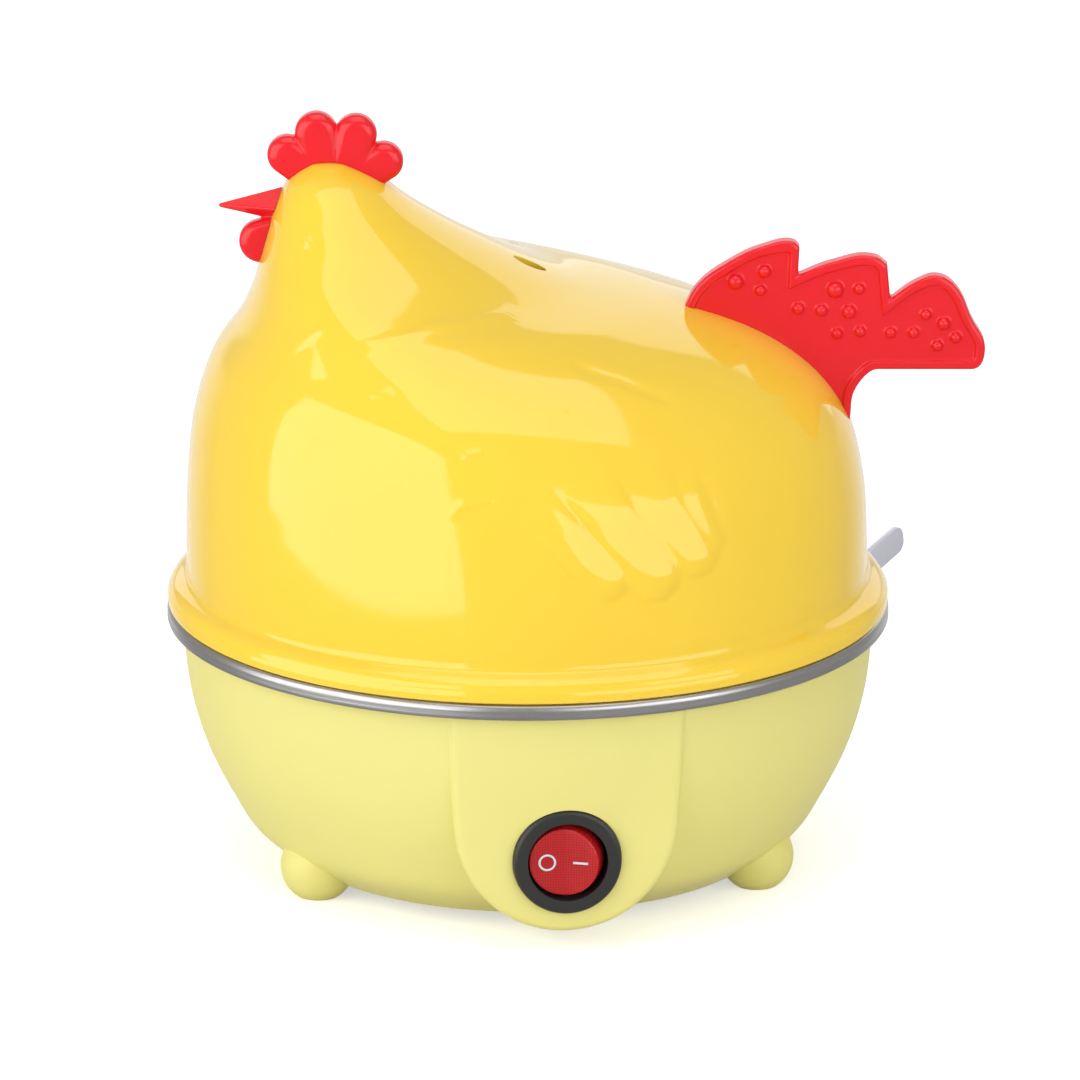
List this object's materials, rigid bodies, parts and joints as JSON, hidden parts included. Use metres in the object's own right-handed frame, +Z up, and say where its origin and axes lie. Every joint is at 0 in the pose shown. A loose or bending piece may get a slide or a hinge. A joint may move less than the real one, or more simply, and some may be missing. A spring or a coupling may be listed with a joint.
{
  "type": "egg boiler",
  "caption": "Egg boiler shaped like a sitting hen: domed lid with red comb, beak and tail, steel pan rim, round base on ball feet, rocker switch in front, coiled lead behind.",
  "frame": {"origin": "on the table, under the middle of the object's outline, its cord left out", "axes": "+X along the hen from beak to tail, +Y from the switch to the cord, +Z up"},
  "size_m": [0.1752, 0.2342, 0.165],
  "materials": {
    "lid_yellow": "polished opaque moulding",
    "base_yellow": "fine matt moulding",
    "trim_red": "polished moulding",
    "rack_white": "plain moulding",
    "pan_steel": "brushed round the rim",
    "plain_steel": "zinc plated",
    "aluminium": "rolled sheet",
    "switch_black": "satin moulding",
    "rocker_red": "clear red moulding",
    "brass": "stamped strip",
    "cord_white": "smooth sheath",
    "plug_white": "soft moulding",
    "tie_grey": "strap",
    "blade_nickel": "nickel plated",
    "wire_brown": "insulation",
    "wire_blue": "insulation"
  },
  "bodies": {
    "base": {"heating_pan": "pan_steel", "base_bowl": "base_yellow", "heat_spreader": "aluminium", "heater_tube": "pan_steel", "heater_pins": "plain_steel", "thermostat": "switch_black", "thermostat_bracket": "aluminium", "bracket_screws": "plain_steel", "thermal_fuse": "plain_steel", "pan_studs": "plain_steel", "base_screws": "plain_steel", "switch_housing": "switch_black", "switch_terminals": "brass", "spade_connectors": "brass", "strain_relief": "cord_white", "cord_lead": "cord_white", "cord_coil": "cord_white", "coil_tie": "tie_grey", "cord_tail": "cord_white", "plug": "plug_white", "plug_blades": "blade_nickel", "wire_live": "wire_brown", "wire_switched": "wire_brown", "wire_heater": "wire_brown", "wire_neutral": "wire_blue", "wire_return": "wire_blue"},
    "egg_rack": {"egg_rack": "rack_white"},
    "lid": {"hen_lid": "lid_yellow", "comb": "trim_red", "beak": "trim_red", "tail": "trim_red", "trim_screws": "plain_steel"},
    "rocker": {"switch_rocker": "rocker_red"}
  },
  "joints": [
    {"name": "rack_lift", "type": "slide", "parent": "base", "child": "egg_rack", "axis": [0, 0, 1], "range_m": [0, 0.12]},
    {"name": "lid_lift", "type": "slide", "parent": "egg_rack", "child": "lid", "axis": [0, 0, 1], "range_m": [0, 0.15]},
    {"name": "rocker_tilt", "type": "hinge", "parent": "base", "child": "rocker", "pos_m": [-0.00198, -0.0661, 0.0205], "axis": [0, 0, 1], "range_deg": [0, 20]}
  ]
}
